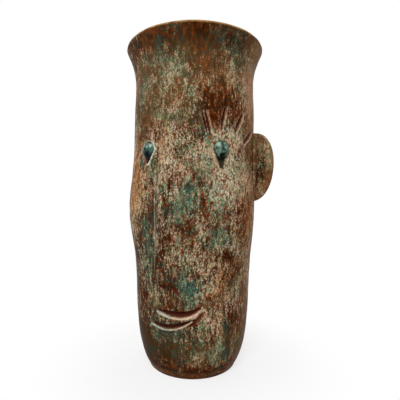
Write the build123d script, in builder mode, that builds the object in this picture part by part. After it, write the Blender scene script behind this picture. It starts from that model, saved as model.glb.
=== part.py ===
# Stoneware face vase: a thrown wall with a flared mouth, closed by a base slab and dressed with
# luted clay pieces (nose, lower lip, two eye pellets, two ears). It stands on Z = 0 and faces -Y.
# Right and left are those of someone looking at the face, with +X to their right.

import os
from math import acos, atan, cos, degrees, exp, pi, radians, sin, tan

from build123d import *

os.makedirs("parts", exist_ok=True)

# Thrown form: heights from the table and outside radii, in millimetres
height = 300.0
flare_height = 34.0
neck_taper_height = 34.0
belly_height = 62.0
base_radius = 41.0
belly_radius = 54.8
shoulder_radius = 58.0
neck_radius = 56.8
rim_radius = 66.5
foot_curve = 22.0
flare_power = 1.8
neck_height = height - flare_height
shoulder_height = neck_height - neck_taper_height

# Clay thickness
slab_thickness = 7.0
slab_edge_round = 1.6
wall_thickness = 7.0
lip_thickness = 4.4
lip_round = 1.7
lip_round_share = 0.46

# Cheeks pushed out from inside; angles in degrees from the middle of the face, positive to the right
cheek_swell = 5.6
cheek_angle = 62.0
cheek_spread = 34.0
cheek_height = 146.0
cheek_rise = 36.0

# Nose: a tapered strip luted down the front
nose_angle = -5.6
nose_top = 240.0
nose_tip = 85.0
nose_half_width = 12.0
nose_top_half_width = 8.0
nose_proud = 8.5
nose_top_proud = 0.8
nose_edge_sink = 1.2
nose_root = 5.0
nose_tip_roll = 9.0
nose_tip_sink = 3.0
nostril_radius = 2.0
nostril_spacing = 11.0
nostril_outset = 2.4

# Eye pellets in tear-shaped sockets, each with a pressed wedge for the pupil
eye_height = 198.0
right_eye_angle = 39.3
left_eye_angle = -27.3
pellet_radius = 6.8
pellet_edge = 3.0
pellet_proud = 3.6
socket_depth = 3.4
socket_clearance = 0.3
tear_length = 14.5
pupil_width = 6.0
pupil_length = 8.0
pupil_depth = 2.2

# Lash grooves above the right eye: foot beside and above the eye's middle, lean, length and width
lashes = [
    (-9.6, 10.4, -13.6, 19.9, 2.2),
    (-12.8, 13.1, -14.6, 17.3, 1.6),
    (-0.3, 15.9, 10.6, 19.1, 2.8),
    (-2.9, 19.4, 14.0, 8.0, 1.4),
    (14.3, 15.6, 27.5, 21.0, 2.8),
    (24.8, 7.5, 53.5, 23.0, 2.6),
]
lash_depth = 1.8
lash_draft = 20.0
lash_lift = 1.0

# Mouth: two crescent cuts, the lower one under the upper one and left of it
mouth_angle = 4.0
mouth_height = 63.6
upper_cut_width = 38.6
upper_cut_tilt = 6.3
upper_cut_sag = 1.0
lower_cut_width = 35.8
lower_cut_tilt = 5.4
lower_cut_sag = 1.6
lower_cut_shift = -7.9
lower_cut_drop = 11.4
cut_opening = 4.4
cut_depth = 3.0

# Lower lip: a leaf of clay between the cuts, seen on the mouth's plane
lip_left = (-21.5, -7.6)
lip_right = (20.2, 1.5)
lip_upper_middle = (0.0, -3.8)
lip_lower_middle = (0.0, -13.6)
lip_proud = 2.2
lip_gap = 0.3

# Ears: flat tongues luted to the sides, hollowed in front
right_ear_angle = 90.0
left_ear_angle = -110.0
ear_top = 219.0
ear_bottom = 155.0
ear_reach = 18.5
ear_lean = 5.0
ear_thickness = 9.0
ear_round = 2.6
ear_border = 4.5
ear_floor_border = 9.0
ear_hollow_depth = 3.4

# How far outside the wall a cut starts
cut_reach = 6.0

# Curve stations: rings up the wall, points round each ring, rings up the nose
wall_rings = 24
ring_points = 24
nose_rings = 10


def eased(share):
    share = min(max(share, 0.0), 1.0)
    return share * share * (3.0 - 2.0 * share)


def thrown_radius(z):
    swell = eased((z - belly_height) / (shoulder_height - belly_height))
    taper = eased((z - shoulder_height) / neck_taper_height)
    flare = max(z - neck_height, 0.0) / flare_height
    radius = belly_radius - (belly_radius - base_radius) * exp(-z / foot_curve)
    radius += (shoulder_radius - belly_radius) * swell
    radius += (neck_radius - shoulder_radius) * taper
    return radius + (rim_radius - neck_radius) * flare**flare_power


def wall_radius(angle, z):
    rise = exp(-(((z - cheek_height) / cheek_rise) ** 2))
    sides = sum(exp(-(((angle - side * cheek_angle) / cheek_spread) ** 2)) for side in (-1, 1))
    return thrown_radius(z) + cheek_swell * rise * sides


def clay_thickness(z):
    thinning = eased((z - shoulder_height) / (height - shoulder_height))
    return wall_thickness + (lip_thickness - wall_thickness) * thinning


def outwards(angle):
    return Vector(sin(radians(angle)), -cos(radians(angle)), 0)


def sideways(angle):
    return Vector(cos(radians(angle)), sin(radians(angle)), 0)


def wall_plane(angle, z, outset=0.0):
    # Faces outwards, with its X to the right of someone looking at it and its Y up
    middle = outwards(angle) * (wall_radius(angle, z) + outset) + Vector(0, 0, z)
    return Plane(middle, x_dir=sideways(angle), z_dir=outwards(angle))


def ring_faces(outset):
    # Rings lie closer together near both ends, where the profile turns most, and share their stations
    faces = []
    stations = [point / ring_points for point in range(ring_points + 1)]
    for step in range(wall_rings + 1):
        z = slab_thickness + (height - slab_thickness) * (1.0 - cos(pi * step / wall_rings)) / 2.0
        angles = [360.0 * station - 180.0 for station in stations[:-1]]
        points = [outwards(angle) * (wall_radius(angle, z) + outset(z)) for angle in angles]
        with BuildSketch(Plane.XY.offset(z)) as ring:
            with BuildLine():
                add(Edge.make_spline(points, periodic=True, parameters=stations))
            make_face()
        faces.append(ring.sketch.face())
    return faces


def crescent(width, sag):
    # A smile between two corners: both edges bow down, the lower one by the opening more
    corner = width / 2.0
    with BuildSketch(mode=Mode.PRIVATE) as smile:
        with BuildLine():
            ThreePointArc((-corner, 0), (0, -sag), (corner, 0))
            ThreePointArc((corner, 0), (0, -sag - cut_opening), (-corner, 0))
        make_face()
    return smile.sketch


def mouth_outline():
    with BuildSketch(mode=Mode.PRIVATE) as cuts:
        with Locations(Location((0, 0, 0), (0, 0, upper_cut_tilt))):
            add(crescent(upper_cut_width, upper_cut_sag))
        with Locations(Location((lower_cut_shift, -lower_cut_drop, 0), (0, 0, lower_cut_tilt))):
            add(crescent(lower_cut_width, lower_cut_sag))
    return cuts.sketch


# Solid clay form that the luted pieces are seated on
with BuildPart() as clay_form:
    loft(ring_faces(lambda z: 0.0))

# The same form shrunk to the floor of the mouth cuts, and swelled to the top of the lip
with BuildPart() as cut_floor:
    loft(ring_faces(lambda z: -cut_depth))

with BuildPart() as lip_crown:
    loft(ring_faces(lambda z: lip_proud))

# Base slab under the wall
slab_top_radius = thrown_radius(slab_thickness)

with BuildPart() as base_slab:
    with BuildSketch(Plane.XZ):
        with BuildLine():
            Polyline((0, slab_thickness), (0, 0), (base_radius, 0))
            Polyline((base_radius, 0), (slab_top_radius, slab_thickness), (0, slab_thickness))
        make_face()
    revolve(axis=Axis.Z)
    fillet(base_slab.edges().group_by(Axis.Z)[0], slab_edge_round)

base_slab.part.label = "base_slab"
export_step(base_slab.part, "parts/base_slab.step")

# What is pressed into the wall: sockets, lash grooves and mouth cuts
mouth_plane = wall_plane(mouth_angle, mouth_height)

with BuildPart() as mouth_cuts:
    with BuildSketch(mouth_plane.offset(cut_reach)):
        add(mouth_outline())
    extrude(amount=-cut_reach - wall_thickness - cut_depth)
    add(cut_floor.part, mode=Mode.SUBTRACT)

with BuildPart() as pressings:
    add(mouth_cuts.part)

    # Sockets: a round seat for each pellet, drawn to a point below it
    socket_radius = pellet_radius + socket_clearance
    tangent = acos(socket_radius / tear_length)
    side, below = socket_radius * sin(tangent), -socket_radius * cos(tangent)
    for eye_angle in (left_eye_angle, right_eye_angle):
        with BuildSketch(wall_plane(eye_angle, eye_height, cut_reach)):
            Circle(socket_radius)
            Polygon((-side, below), (0, -tear_length), (side, below), align=None)
        extrude(amount=-cut_reach - socket_depth)

    # Lash grooves: slots with sloping sides, fanned out over the right eye
    for beside, above, lean, length, width in lashes:
        along = beside + sin(radians(lean)) * length / 2.0
        groove_height = eye_height + above + cos(radians(lean)) * length / 2.0
        groove_angle = right_eye_angle + degrees(along / wall_radius(right_eye_angle, groove_height))
        spread = 2.0 * lash_lift * tan(radians(lash_draft))
        with BuildSketch(wall_plane(groove_angle, groove_height, lash_lift)):
            SlotOverall(length + spread, width + spread, rotation=90.0 - lean)
        extrude(amount=-lash_lift - lash_depth, taper=lash_draft)

# Thrown wall: the clay form hollowed to an even thickness, with a rounded lip and the pressings
flare_slope = flare_power * (rim_radius - neck_radius) / flare_height
lip_round_limit = lip_round_share * lip_thickness * cos(atan(flare_slope))

with BuildPart() as vase_wall:
    add(clay_form.part)
    loft(ring_faces(lambda z: -clay_thickness(z)), mode=Mode.SUBTRACT)
    fillet(vase_wall.faces().sort_by(Axis.Z)[-1].edges(), min(lip_round, lip_round_limit))
    add(pressings.part, mode=Mode.SUBTRACT)

vase_wall.part.label = "vase_wall"
export_step(vase_wall.part, "parts/vase_wall.step")

# Eye pellets: domes on flat backs, each with a wedge pressed into it
pellet_height = socket_depth + pellet_proud
dome_height = pellet_height - pellet_edge

for eye_name, eye_angle in (("left_eye", left_eye_angle), ("right_eye", right_eye_angle)):
    eye_plane = wall_plane(eye_angle, eye_height, -socket_depth)
    with BuildPart() as eye:
        with BuildSketch(Plane(eye_plane.origin, x_dir=eye_plane.x_dir, z_dir=-eye_plane.y_dir)):
            with BuildLine():
                Polyline((0, pellet_height), (0, 0), (pellet_radius, 0), (pellet_radius, pellet_edge))
                EllipticalCenterArc((0, pellet_edge), pellet_radius, dome_height, arc_size=90)
            make_face()
        revolve(axis=Axis(eye_plane.origin, eye_plane.z_dir))
        with BuildSketch(eye_plane.offset(pellet_height)):
            Triangle(a=pupil_width, b=pupil_length, c=pupil_length)
        extrude(amount=-pupil_depth, mode=Mode.SUBTRACT)
    eye.part.label = eye_name
    export_step(eye.part, f"parts/{eye_name}.step")

# Nose: sections widen and rise towards the tip, then roll in under it
with BuildPart() as nose:
    sections = []
    for step in range(nose_rings + 1):
        fall = sin(pi / 2.0 * step / nose_rings)
        z = nose_top + (nose_tip - nose_top) * fall
        roll = max(1.0 - (z - nose_tip) / nose_tip_roll, 0.0)
        half_width = nose_top_half_width + (nose_half_width - nose_top_half_width) * fall
        proud = nose_top_proud + (nose_proud - nose_top_proud) * eased(fall) - nose_tip_sink * roll**2
        radius = wall_radius(nose_angle, z)
        half_angle = degrees(half_width / radius)
        left_edge = outwards(nose_angle - half_angle) * (radius - nose_edge_sink)
        right_edge = outwards(nose_angle + half_angle) * (radius - nose_edge_sink)
        with BuildSketch(Plane.XY.offset(z)) as section:
            with BuildLine():
                Spline(left_edge, outwards(nose_angle) * (radius + proud), right_edge)
                Polyline(right_edge, outwards(nose_angle) * (radius - nose_root), left_edge)
            make_face()
        sections.append(section.sketch.face())
    loft(sections)
    add(clay_form.part, mode=Mode.SUBTRACT)

    # Nostrils pressed up into the underside
    nostril_turn = degrees(nostril_spacing / 2.0 / wall_radius(nose_angle, nose_tip))
    for side in (-1, 1):
        with Locations(wall_plane(nose_angle + side * nostril_turn, nose_tip, nostril_outset).origin):
            Sphere(nostril_radius, mode=Mode.SUBTRACT)

nose.part.label = "nose"
export_step(nose.part, "parts/nose.step")

# Lower lip: the leaf between the cuts, trimmed clear of both and seated on the wall
with BuildPart() as lower_lip:
    with BuildSketch(mouth_plane.offset(cut_reach)):
        with BuildLine():
            ThreePointArc(lip_left, lip_upper_middle, lip_right)
            ThreePointArc(lip_right, lip_lower_middle, lip_left)
        make_face()
        offset(mouth_outline(), amount=lip_gap, mode=Mode.SUBTRACT)
    extrude(amount=-cut_reach - wall_thickness - cut_depth)
    add(lip_crown.part, mode=Mode.INTERSECT)
    add(clay_form.part, mode=Mode.SUBTRACT)

lower_lip.part.label = "lower_lip"
export_step(lower_lip.part, "parts/lower_lip.step")

# Ears: tongues standing out from the sides, with the hollow on the face's side
ear_middle = (ear_top + ear_bottom) / 2.0
ear_half_height = (ear_top - ear_bottom) / 2.0

for ear_name, ear_angle, side in (("left_ear", left_ear_angle, -1), ("right_ear", right_ear_angle, 1)):
    ear_foot = outwards(ear_angle) * wall_radius(ear_angle, ear_middle) + Vector(0, 0, ear_middle)
    ear_plane = Plane(ear_foot, x_dir=outwards(ear_angle), z_dir=sideways(ear_angle) * -side)
    with BuildPart() as ear:
        with BuildSketch(ear_plane):
            Ellipse(ear_reach, ear_half_height, rotation=-ear_lean * side)
        extrude(amount=ear_thickness / 2.0, both=True)
        fillet(ear.edges(), ear_round)
        for sink, border in ((0.0, ear_border), (ear_hollow_depth, ear_floor_border)):
            with BuildSketch(ear_plane.offset(ear_thickness / 2.0 - sink)):
                Ellipse(ear_reach - border, ear_half_height - border, rotation=-ear_lean * side)
        loft(mode=Mode.SUBTRACT)
        add(clay_form.part, mode=Mode.SUBTRACT)
    ear.part.label = ear_name
    export_step(ear.part, f"parts/{ear_name}.step")
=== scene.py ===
import math

import bmesh
import bpy
from mathutils import Matrix, Vector


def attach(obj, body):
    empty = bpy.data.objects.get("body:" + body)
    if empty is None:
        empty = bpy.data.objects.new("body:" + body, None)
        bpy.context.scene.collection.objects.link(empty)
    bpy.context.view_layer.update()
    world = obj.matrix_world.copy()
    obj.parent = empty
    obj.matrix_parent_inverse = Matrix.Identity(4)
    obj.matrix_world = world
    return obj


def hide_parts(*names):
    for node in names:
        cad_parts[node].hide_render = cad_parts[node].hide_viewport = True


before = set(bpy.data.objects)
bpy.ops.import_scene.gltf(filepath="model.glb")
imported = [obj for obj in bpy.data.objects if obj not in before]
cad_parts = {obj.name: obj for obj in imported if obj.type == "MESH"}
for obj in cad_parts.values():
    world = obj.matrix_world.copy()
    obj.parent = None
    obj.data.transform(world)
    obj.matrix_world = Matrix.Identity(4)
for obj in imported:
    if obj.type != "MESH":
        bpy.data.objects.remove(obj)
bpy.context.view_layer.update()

mm = 0.001
scene = bpy.context.scene
print("frame loaded:", ", ".join(sorted(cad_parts)))


# A socket that can be used in sums; every other node comes from add()
class Wire:
    def __init__(self, tree, socket=None):
        self.tree = tree
        self.socket = socket

    def add(self, kind, settings=None, sockets=None, out=0):
        node = self.tree.nodes.new(kind)
        for name, value in (settings or {}).items():
            setattr(node, name, value)
        for name, value in (sockets or {}).items():
            if isinstance(value, Wire):
                self.tree.links.new(value.socket, node.inputs[name])
            else:
                node.inputs[name].default_value = value
        return Wire(self.tree, node.outputs[out] if len(node.outputs) else None)

    def math(self, operation, *others):
        return self.add("ShaderNodeMath", {"operation": operation}, dict(enumerate((self,) + others)))

    def axis(self, number):
        return self.add("ShaderNodeSeparateXYZ", None, {0: self}, number)

    def __add__(self, other):
        return self.math("ADD", other)

    def __sub__(self, other):
        return self.math("SUBTRACT", other)

    def __rsub__(self, other):
        return self.math("MULTIPLY_ADD", -1.0, other)

    def __mul__(self, other):
        return self.math("MULTIPLY", other)

    def __truediv__(self, other):
        return self.math("DIVIDE", other)

    def __pow__(self, other):
        return self.math("POWER", other)

    __radd__ = __add__
    __rmul__ = __mul__


# These run on plain numbers and on sockets alike, so one formula serves both
def expOf(x):
    return x.math("EXPONENT") if isinstance(x, Wire) else math.exp(x)


def sinOf(x):
    return x.math("SINE") if isinstance(x, Wire) else math.sin(x)


def cosOf(x):
    return x.math("COSINE") if isinstance(x, Wire) else math.cos(x)


def maxOf(x, y):
    return x.math("MAXIMUM", y) if isinstance(x, Wire) else max(x, y)


def minOf(x, y):
    return x.math("MINIMUM", y) if isinstance(x, Wire) else min(x, y)


def clamped(x):
    return minOf(maxOf(x, 0.0), 1.0)


def bell(x, width):
    share = x / width
    return expOf(share * share * -1.0)


def eased(x):
    x = clamped(x)
    return x * x * (3.0 - 2.0 * x)


def step(x, low, high):
    return eased((x - low) / (high - low))


def placed(name, data):
    item = bpy.data.objects.new(name, data)
    scene.collection.objects.link(item)
    return item


def clearedBench(owner):
    owner.use_nodes = True
    owner.node_tree.nodes.clear()
    return Wire(owner.node_tree)


# Thrown wall: millimetres, and degrees from the middle of the face
wall = {
    "height": 300.0, "slab": 7.0, "footRadius": 41.0, "bellyRadius": 54.8, "shoulderRadius": 58.0,
    "neckRadius": 56.8, "rimRadius": 66.5, "bellyHeight": 62.0, "shoulderHeight": 232.0,
    "neckHeight": 266.0, "footCurve": 22.0, "flarePower": 1.8, "thickness": 7.0, "lipThickness": 4.4,
    "cheekSwell": 5.6, "cheekAngle": 62.0, "cheekSpread": 34.0, "cheekHeight": 146.0, "cheekRise": 36.0,
}
wallGrid = {
    "columns": 252, "rows": 346, "frontCrowding": 32.0, "faceCrowding": 0.035, "faceStart": 0.17,
    "outsideEnd": 0.84, "lipEnd": 0.865, "insideEnd": 0.991, "weld": 0.02,
}
# Unevenness the potter's hands leave: height in millimetres, scale per metre and detail of the noise
throwing = {
    "sway": (1.4, 21.0, 1.0), "dent": (0.6, 90.0, 2.0), "ring": 0.45, "ringTurn": 0.62, "calm": (8.0, 20.0),
}


def thrownRadius(z, s):
    flare = maxOf((z - s["neckHeight"]) / (s["height"] - s["neckHeight"]), 0.0)
    radius = s["bellyRadius"] - (s["bellyRadius"] - s["footRadius"]) * expOf(z / s["footCurve"] * -1.0)
    body = step(z, s["bellyHeight"], s["shoulderHeight"])
    neck = step(z, s["shoulderHeight"], s["neckHeight"])
    radius = radius + (s["shoulderRadius"] - s["bellyRadius"]) * body
    radius = radius + (s["neckRadius"] - s["shoulderRadius"]) * neck
    return radius + (s["rimRadius"] - s["neckRadius"]) * flare ** s["flarePower"]


def wallRadius(angle, z, s):
    sides = bell(angle - s["cheekAngle"], s["cheekSpread"]) + bell(angle + s["cheekAngle"], s["cheekSpread"])
    return thrownRadius(z, s) + s["cheekSwell"] * sides * bell(z - s["cheekHeight"], s["cheekRise"])


def clayThickness(z, s):
    return s["thickness"] + (s["lipThickness"] - s["thickness"]) * step(z, s["shoulderHeight"], s["height"])


def onWall(angle, z, outset=0.0):
    radius = (wallRadius(angle, z, wall) + outset) * mm
    turn = math.radians(angle)
    return (radius * math.sin(turn), -radius * math.cos(turn), z * mm)


# A stroke in the wet clay: two ends as (angle, height), half widths at its start, middle and end, depth,
# height of the burr that the tool throws up and the side of the stroke where it stands
def strokeOf(start, end, half, depth, burr, side, **more):
    return {"ends": (start, end), "half": half, "depth": depth, "burr": burr, "side": side, **more}


lashes = [
    strokeOf((29.8, 208.6), (25.2, 227.7), (0.6, 1.1, 0.8), 1.9, 0.6, (1, -0.3)),
    strokeOf((26.7, 211.2), (22.4, 227.8), (0.5, 0.9, 0.7), 1.5, 0.5, (1, 0)),
    strokeOf((39.0, 214.2), (42.5, 232.7), (0.6, 1.4, 0.9), 2.1, 0.8, (1, -0.2)),
    strokeOf((36.4, 217.4), (38.4, 225.2), (0.4, 0.7, 0.4), 0.9, 0.3, (1, 0)),
    strokeOf((53.4, 213.9), (63.2, 232.6), (0.8, 1.9, 0.6), 2.1, 0.9, (0.9, -0.4)),
    strokeOf((64.6, 205.4), (80.4, 218.8), (0.7, 1.9, 0.6), 1.9, 0.9, (0.7, -0.7)),
]
mouth = {
    "upper": strokeOf((-17.8, 61.7), (22.5, 65.9), (0.6, 2.7, 1.2), 3.0, 0.9, (0, -1), sag=3.8, skew=0.5),
    "lower": strokeOf((-25.4, 50.1), (14.6, 55.5), (0.6, 2.0, 0.6), 2.8, 1.0, (0, -1), sag=4.0),
    # The crease at the smile's right corner is painted dark: rust glaze, and painted shadow below the corner
    "crease": strokeOf((13.5, 50.8), (25.0, 61.8), (1.0, 2.2, 1.1), 0.7, 0.0, (0, -1), sag=2.0, faint=0.5),
}
sockets = [
    strokeOf((-27.3, 198.0), (-27.3, 188.6), (7.1, 4.2, 1.3), 3.0, 0.9, (0.7, -0.6), socket=1),
    strokeOf((39.3, 198.0), (39.3, 183.6), (7.1, 4.6, 1.8), 3.0, 0.4, (-0.6, -0.6), socket=1),
]
# Lighter strokes, darkened like the cuts: a tool's edge down the left of the nose, partly painted shade and
# highlight along its crease; the creases where the ears are luted; the nostrils, painted shade under the nose
# tip
drawn = [
    strokeOf((-17.6, 176.0), (-18.8, 96.0), (0.4, 0.7, 0.5), 0.6, 0.24, (-1, 0), faint=1.9),
    strokeOf((84.4, 207.0), (84.0, 164.0), (0.8, 1.9, 0.9), 0.5, 0.0, (1, 0)),
    strokeOf((-104.6, 207.0), (-104.6, 164.0), (0.8, 1.7, 0.9), 0.5, 0.0, (-1, 0)),
    strokeOf((-18.2, 84.8), (-8.6, 81.6), (0.6, 1.7, 0.9), 0.8, 0.0, (0, -1)),
    strokeOf((-3.6, 83.8), (3.8, 76.6), (0.7, 1.7, 0.8), 0.8, 0.0, (0, -1)),
]
strokeSteps = 60
strokeValues = ("half", "depth", "burr", "sideX", "sideZ", "alongX", "alongZ", "socket", "faint")
# How a stroke presses the clay: shares of its half width or depth, and millimetres for the burr beside it
pressing = {
    "side": (0.5, 1.1), "endDepth": 0.4, "socketFade": 0.5, "shadedSide": (0.2, -0.7), "lipStop": 20.0,
    "nearest": 0.05, "burrOut": 0.5, "burrWidth": 0.6, "burrTurn": (-0.3, 0.6), "burrEnd": (0.5, 0.95),
    "farBurr": 0.3, "socketBurrOut": 0.9, "socketBurrWidth": 0.3, "ringOut": 0.1, "ringWidth": 0.4,
    "ringShade": 0.6, "faintShade": 0.45, "paleGain": 1.3,
}


def alongStroke(stroke, share):
    (angle0, z0), (angle1, z1) = stroke["ends"]
    first, middle, last = stroke["half"]
    bow = 4.0 * share * (1.0 - share)
    angle = angle0 + (angle1 - angle0) * share
    sag = stroke.get("sag", 0.0) * bow * (1.0 + stroke.get("skew", 0.0) * (2.0 * share - 1.0))
    half = first + (last - first) * share + (middle - (first + last) / 2.0) * bow
    return angle, z0 + (z1 - z0) * share - sag, half, bow


def strokeCloud():
    places, values = [], {name: [] for name in strokeValues}
    for stroke in lashes + list(mouth.values()) + sockets + drawn:
        (angle0, z0), (angle1, z1) = stroke["ends"]
        run = Vector((math.radians(angle1 - angle0) * wall["bellyRadius"], z1 - z0)).normalized()
        for count in range(strokeSteps + 1):
            share = count / strokeSteps
            angle, z, half, bow = alongStroke(stroke, share)
            socket = stroke.get("socket", 0)
            fade = 1.0 - pressing["socketFade"] * share if socket else min(1.0, pressing["endDepth"] + bow)
            run = run * (1 - socket)
            faint = stroke.get("faint", 0)
            row = (half, stroke["depth"] * fade, stroke["burr"], *stroke["side"], *run, socket, faint)
            places.append(onWall(angle, z))
            for name, value in zip(strokeValues, row):
                values[name].append(value)
    mesh = bpy.data.meshes.new("pressedStrokes")
    mesh.from_pydata(places, [], [])
    for name in strokeValues:
        mesh.attributes.new(name, "FLOAT", "POINT").data.foreach_set("value", values[name])
    return placed("pressedStrokes", mesh)


def wallTree(cloud, material):
    tree = bpy.data.node_groups.new("thrownWall", "GeometryNodeTree")
    tree.interface.new_socket("Geometry", in_out="OUTPUT", socket_type="NodeSocketGeometry")
    for name in wall:
        tree.interface.new_socket(name, in_out="INPUT", socket_type="NodeSocketFloat")
    bench = Wire(tree)
    s = {name: bench.add("NodeGroupInput", out=name) for name in wall}

    # A flat grid: u goes round the pot, v up the outside, over the lip, down the inside and back under
    grid = bench.add("GeometryNodeMeshGrid", None, {
        "Size X": 1.0, "Size Y": 1.0,
        "Vertices X": wallGrid["columns"], "Vertices Y": wallGrid["rows"]}, "Mesh")
    flat = bench.add("GeometryNodeInputPosition")
    u = flat.axis(0)
    v = flat.axis(1) + 0.5
    angle = u * 360.0 - sinOf(u * (2.0 * math.pi)) * wallGrid["frontCrowding"]
    turn = angle * (math.pi / 180.0)

    def between(low, high):
        return clamped((v - wallGrid[low]) / (wallGrid[high] - wallGrid[low]))

    roll = s["lipThickness"] * 0.5
    top = s["height"] - roll
    up = clamped(v / wallGrid["outsideEnd"])
    crowd = 4.0 * math.pi * wallGrid["faceStart"]
    up = up - (sinOf(up * (4.0 * math.pi) - crowd) + math.sin(crowd)) * wallGrid["faceCrowding"]
    over = between("outsideEnd", "lipEnd") * math.pi
    down = between("lipEnd", "insideEnd")
    under = clamped((v - wallGrid["insideEnd"]) / (1.0 - wallGrid["insideEnd"]))
    zWall = minOf(s["slab"] + (top - s["slab"]) * up, top - (top - s["slab"]) * down)
    inside = (1.0 - cosOf(over)) * 0.5
    radius = wallRadius(angle, zWall, s) - clayThickness(zWall, s) * inside * (1.0 - under)
    z = zWall + roll * sinOf(over)

    def spotAt(radius):
        return bench.add("ShaderNodeCombineXYZ", None, {
            0: sinOf(turn) * radius * mm, 1: cosOf(turn) * radius * -mm, 2: z * mm})

    # Slow sway and small dents all over, finger rings inside
    spot = spotAt(radius)

    def uneven(height, scale, detail):
        noise = bench.add("ShaderNodeTexNoise", None, {"Vector": spot, "Scale": scale, "Detail": detail})
        return (noise - 0.5) * height

    hand = uneven(*throwing["sway"]) + uneven(*throwing["dent"])
    hand = hand + sinOf(z * throwing["ringTurn"]) * inside * throwing["ring"]
    radius = radius + hand * step(z, *throwing["calm"])

    # The nearest stroke gives each spot its width, depth and burr
    marks = bench.add("GeometryNodeObjectInfo", {"transform_space": "ORIGINAL"},
                      {"Object": cloud}, "Geometry")
    nearest = bench.add("GeometryNodeSampleNearest", None, {"Geometry": marks, "Sample Position": spot})

    def fromMark(value, kind="FLOAT"):
        return bench.add("GeometryNodeSampleIndex", {"data_type": kind, "domain": "POINT"},
                         {"Geometry": marks, "Value": value, "Index": nearest})

    mark = {}
    for name in strokeValues:
        kept = bench.add("GeometryNodeInputNamedAttribute", {"data_type": "FLOAT"}, {"Name": name})
        mark[name] = fromMark(kept)
    markSpot = fromMark(bench.add("GeometryNodeInputPosition"), "FLOAT_VECTOR")
    away = bench.add("ShaderNodeVectorMath", {"operation": "SUBTRACT"}, {0: spot, 1: markSpot})
    distance = bench.add("ShaderNodeVectorMath", {"operation": "LENGTH"}, {0: away}, "Value") / mm
    part = [away.axis(number) / mm for number in range(3)]
    sideways = part[0] * cosOf(turn) + part[1] * sinOf(turn)
    p = pressing
    reach = maxOf(distance, p["nearest"])
    towards = (sideways * mark["sideX"] + part[2] * mark["sideZ"]) / reach
    endways = (sideways * mark["alongX"] + part[2] * mark["alongZ"]).math("ABSOLUTE") / reach
    outside = 1.0 - clamped(over * p["lipStop"])
    pressed = (1.0 - step(distance / mark["half"], *p["side"])) * outside
    beyond = distance - mark["half"] - p["burrOut"] - p["socketBurrOut"] * mark["socket"]
    farSide = mark["sideX"].math("ABSOLUTE") * p["farBurr"]
    ridge = bell(beyond, p["burrWidth"] + p["socketBurrWidth"] * mark["socket"])
    ridge = ridge * (farSide + (1.0 - farSide) * step(towards, *p["burrTurn"]))
    ridge = ridge * (1.0 - step(endways, *p["burrEnd"])) * outside
    radius = radius - pressed * mark["depth"] + ridge * mark["burr"]

    # What the glaze needs to know is kept on the grid before it is bent into a pot
    # Painted shade: a ring round each socket, and a cut darker on the side away from its burr
    ring = bell(distance - mark["half"] - p["ringOut"], p["ringWidth"]) * mark["socket"] * p["ringShade"]
    deep = step(towards * distance / mark["half"], *p["shadedSide"])
    dark = pressed * (1.0 - mark["socket"]) * (1.0 - p["faintShade"] * mark["faint"])
    dark = dark * (1.0 + deep) + ring * outside
    # Pale over the burrs: glaze broken thin over them, and painted highlight on their lit edges
    pale = ridge * minOf(mark["burr"] * p["paleGain"], 1.0) * (1.0 - pressed)
    shape = grid
    for name, value in (("groove", dark), ("socket", pressed * mark["socket"]), ("ridge", pale),
                        ("inside", inside)):
        shape = bench.add("GeometryNodeStoreNamedAttribute", {"data_type": "FLOAT", "domain": "POINT"},
                          {"Geometry": shape, "Name": name, "Value": value})
    shape = bench.add("GeometryNodeSetPosition", None, {"Geometry": shape, "Position": spotAt(radius)})
    shape = bench.add("GeometryNodeMergeByDistance", None, {
        "Geometry": shape, "Distance": wallGrid["weld"] * mm})
    shape = bench.add("GeometryNodeSetShadeSmooth", None, {"Geometry": shape})
    shape = bench.add("GeometryNodeRealizeInstances", None, {"Geometry": shape})
    shape = bench.add("GeometryNodeSetMaterial", None, {"Geometry": shape, "Material": material})
    bench.add("NodeGroupOutput", None, {0: shape})
    return tree


def throwWall(material):
    cloud = strokeCloud()
    tree = wallTree(cloud, material)
    pot = placed("thrownWall", bpy.data.meshes.new("thrownWallSeed"))
    modifier = pot.modifiers.new("throwing", "NODES")
    modifier.node_group = tree
    for item in tree.interface.items_tree:
        if item.in_out == "INPUT":
            modifier[item.identifier] = wall[item.name]
    view = bpy.context.evaluated_depsgraph_get()
    mesh = bpy.data.meshes.new_from_object(pot.evaluated_get(view), depsgraph=view)
    pot.modifiers.remove(modifier)
    pot.data = mesh
    bpy.data.objects.remove(cloud)
    return pot


# Luted pieces are plain meshes laid on the same wall formula
def clayPiece(name, points, faces, material, paint=None):
    mesh = bpy.data.meshes.new(name)
    mesh.from_pydata(points, [], faces)
    for key, values in (paint or {}).items():
        mesh.attributes.new(key, "FLOAT", "POINT").data.foreach_set("value", values)
    mesh.polygons.foreach_set("use_smooth", [True] * len(mesh.polygons))
    mesh.materials.append(material)
    return placed(name, mesh)


def gridFaces(rows, columns, wrap=False, first=0):
    faces = []
    for row in range(rows - 1):
        for column in range(columns if wrap else columns - 1):
            following = (column + 1) % columns
            low, high = first + row * columns, first + (row + 1) * columns
            faces.append((low + column, low + following, high + following, high + column))
    return faces


seatDepth = 3.0  # how far the back of a luted strip lies under the wall's surface
pieceWeld = 0.001  # points of a piece nearer than this are one


# A strip laid on the wall: the given top, a back sunk into the clay and a side all round
def lutedStrip(name, top, rows, material, paint):
    columns = len(top) // rows
    points = list(top)
    for x, y, z in top:
        seat = wallRadius(math.degrees(math.atan2(x, -y)), z / mm, wall) - seatDepth
        shrink = min(seat * mm / math.hypot(x, y), 1.0)
        points.append((x * shrink, y * shrink, z))
    faces = gridFaces(rows, columns) + gridFaces(rows, columns, False, len(top))
    rim = list(range(columns)) + [row * columns + columns - 1 for row in range(1, rows)]
    rim += [(rows - 1) * columns + column for column in range(columns - 2, -1, -1)]
    rim += [row * columns for row in range(rows - 2, 0, -1)]
    following = rim[1:] + rim[:1]
    faces += [(a, b, b + len(top), a + len(top)) for a, b in zip(rim, following)]
    paint = {key: list(values) + [0.0] * len(top) for key, values in paint.items()}
    return clayPiece(name, points, faces, material, paint)


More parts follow.
